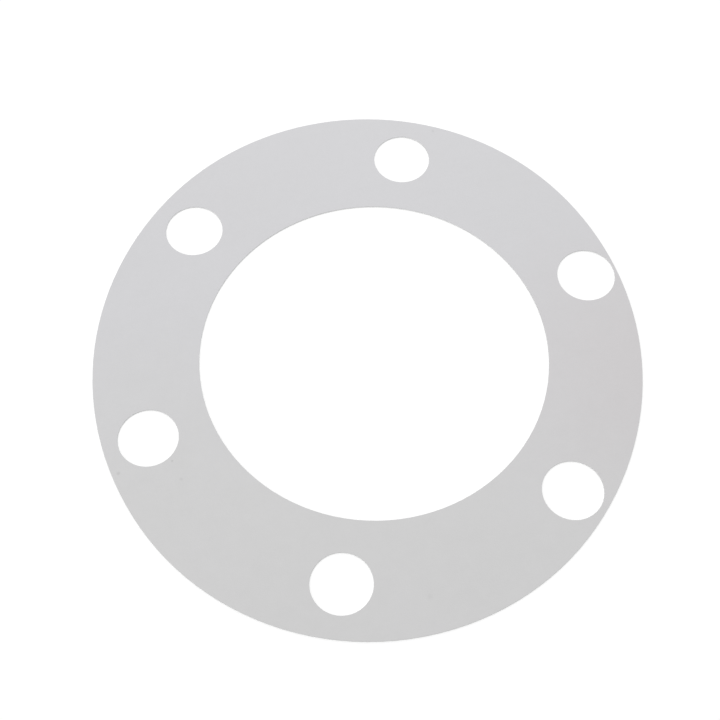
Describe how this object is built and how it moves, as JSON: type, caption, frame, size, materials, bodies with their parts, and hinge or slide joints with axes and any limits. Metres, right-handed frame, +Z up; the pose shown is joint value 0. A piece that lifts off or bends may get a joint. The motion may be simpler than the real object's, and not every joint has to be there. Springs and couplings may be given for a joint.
{
  "type": "flange gasket",
  "caption": "Flat full-face flange gasket, die-cut in one piece from thin pale fluoropolymer sheet, with a round bore and an even ring of bolt holes.",
  "frame": {"origin": "centre of the bore on the underside of the sheet, which lies on the surface it rests on", "axes": "+Z up through the sheet along the bore; +X towards the side where the outer edge runs closest to the bolt holes"},
  "size_m": [0.166, 0.1752, 0.0005],
  "materials": {
    "sheet": "matt skived fluoropolymer sheet, pale grey-white, with a soft cloudiness and a few fine specks"
  },
  "bodies": {
    "root": {"gasket": "sheet"}
  },
  "joints": []
}
